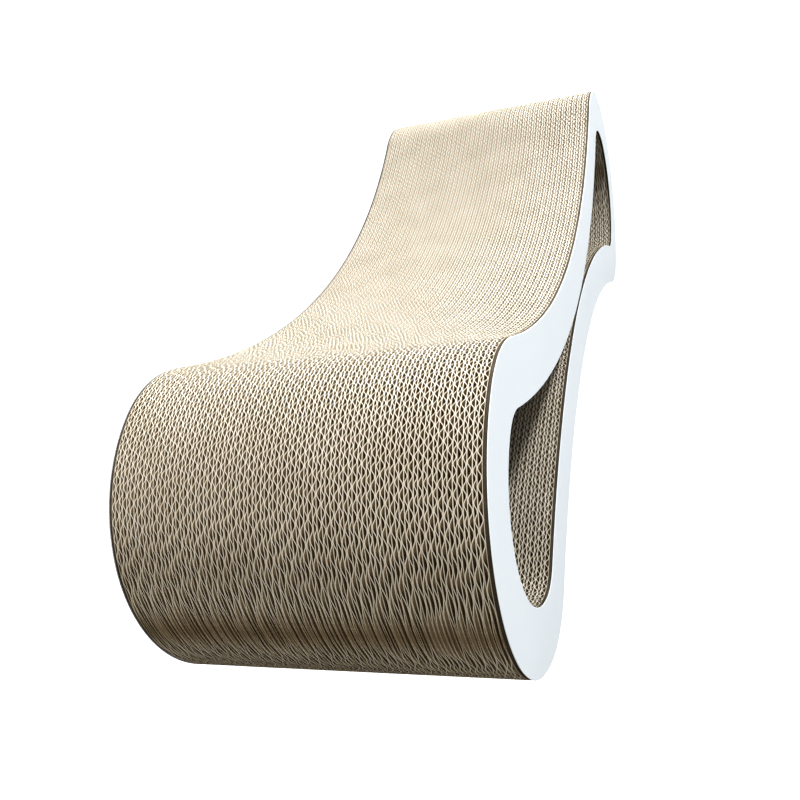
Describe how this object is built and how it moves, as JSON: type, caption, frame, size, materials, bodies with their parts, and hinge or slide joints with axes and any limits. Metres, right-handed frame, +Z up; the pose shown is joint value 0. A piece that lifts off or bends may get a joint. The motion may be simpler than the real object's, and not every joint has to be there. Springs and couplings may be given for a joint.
{
  "type": "cardboard cat scratcher",
  "caption": "Lounge-shaped cat scratcher of corrugated board sheets glued face to face, with a round lobe at each end, a low saddle between them and an opening right through.",
  "frame": {"origin": "on the floor, under the middle of the lounge", "axes": "+X across the stack of sheets, towards the right side panel; +Y along the lounge; +Z up"},
  "size_m": [0.264, 0.86, 0.2466],
  "materials": {
    "corrugated_board": "raw brown kraft board, cut edges with open fluting",
    "white_board": "matt white paper face on board, brown cut edge"
  },
  "bodies": {
    "root": {"left_side_panel": "white_board", "sheet_01": "corrugated_board", "sheet_02": "corrugated_board", "sheet_03": "corrugated_board", "sheet_04": "corrugated_board", "sheet_05": "corrugated_board", "sheet_06": "corrugated_board", "sheet_07": "corrugated_board", "sheet_08": "corrugated_board", "sheet_09": "corrugated_board", "sheet_10": "corrugated_board", "sheet_11": "corrugated_board", "sheet_12": "corrugated_board", "sheet_13": "corrugated_board", "sheet_14": "corrugated_board", "sheet_15": "corrugated_board", "sheet_16": "corrugated_board", "sheet_17": "corrugated_board", "sheet_18": "corrugated_board", "sheet_19": "corrugated_board", "sheet_20": "corrugated_board", "sheet_21": "corrugated_board", "sheet_22": "corrugated_board", "sheet_23": "corrugated_board", "sheet_24": "corrugated_board", "sheet_25": "corrugated_board", "sheet_26": "corrugated_board", "sheet_27": "corrugated_board", "sheet_28": "corrugated_board", "sheet_29": "corrugated_board", "sheet_30": "corrugated_board", "sheet_31": "corrugated_board", "sheet_32": "corrugated_board", "sheet_33": "corrugated_board", "sheet_34": "corrugated_board", "sheet_35": "corrugated_board", "sheet_36": "corrugated_board", "sheet_37": "corrugated_board", "sheet_38": "corrugated_board", "sheet_39": "corrugated_board", "sheet_40": "corrugated_board", "sheet_41": "corrugated_board", "sheet_42": "corrugated_board", "sheet_43": "corrugated_board", "right_side_panel": "white_board"}
  },
  "joints": []
}
